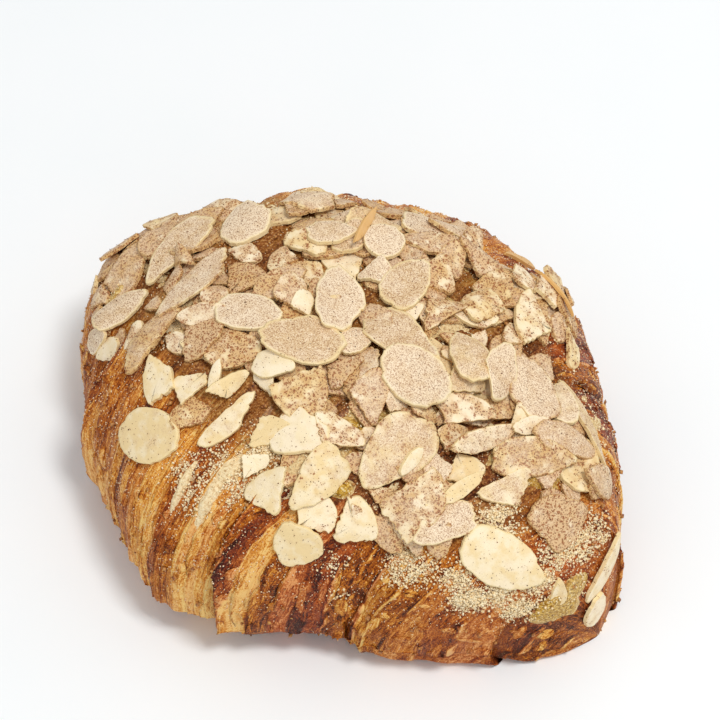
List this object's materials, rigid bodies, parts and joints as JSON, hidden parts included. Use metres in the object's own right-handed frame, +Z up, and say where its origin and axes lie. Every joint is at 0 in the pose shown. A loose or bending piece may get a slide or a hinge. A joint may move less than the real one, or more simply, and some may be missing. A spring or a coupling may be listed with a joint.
{
  "type": "almond croissant",
  "caption": "Twice-baked almond croissant: a wide rolled loaf of browned flaky layers, flat underneath, its top covered in sliced almonds.",
  "frame": {"origin": "on the table, under the middle of the bounding box", "axes": "+X along the roll, from one end to the other; +Z up, with the almonds on top; -Y is the side where the bare crust shows"},
  "size_m": [0.142, 0.1173, 0.058],
  "materials": {
    "crust": "browned laminated pastry with a thin syrup sheen, in streaks from amber to dark brown",
    "almond": "ivory sliced almond, dusted with beige sugar and brown spice",
    "cream": "baked almond cream, moist where thick and crusted where thin"
  },
  "bodies": {
    "root": {"croissant": "crust"}
  },
  "joints": []
}
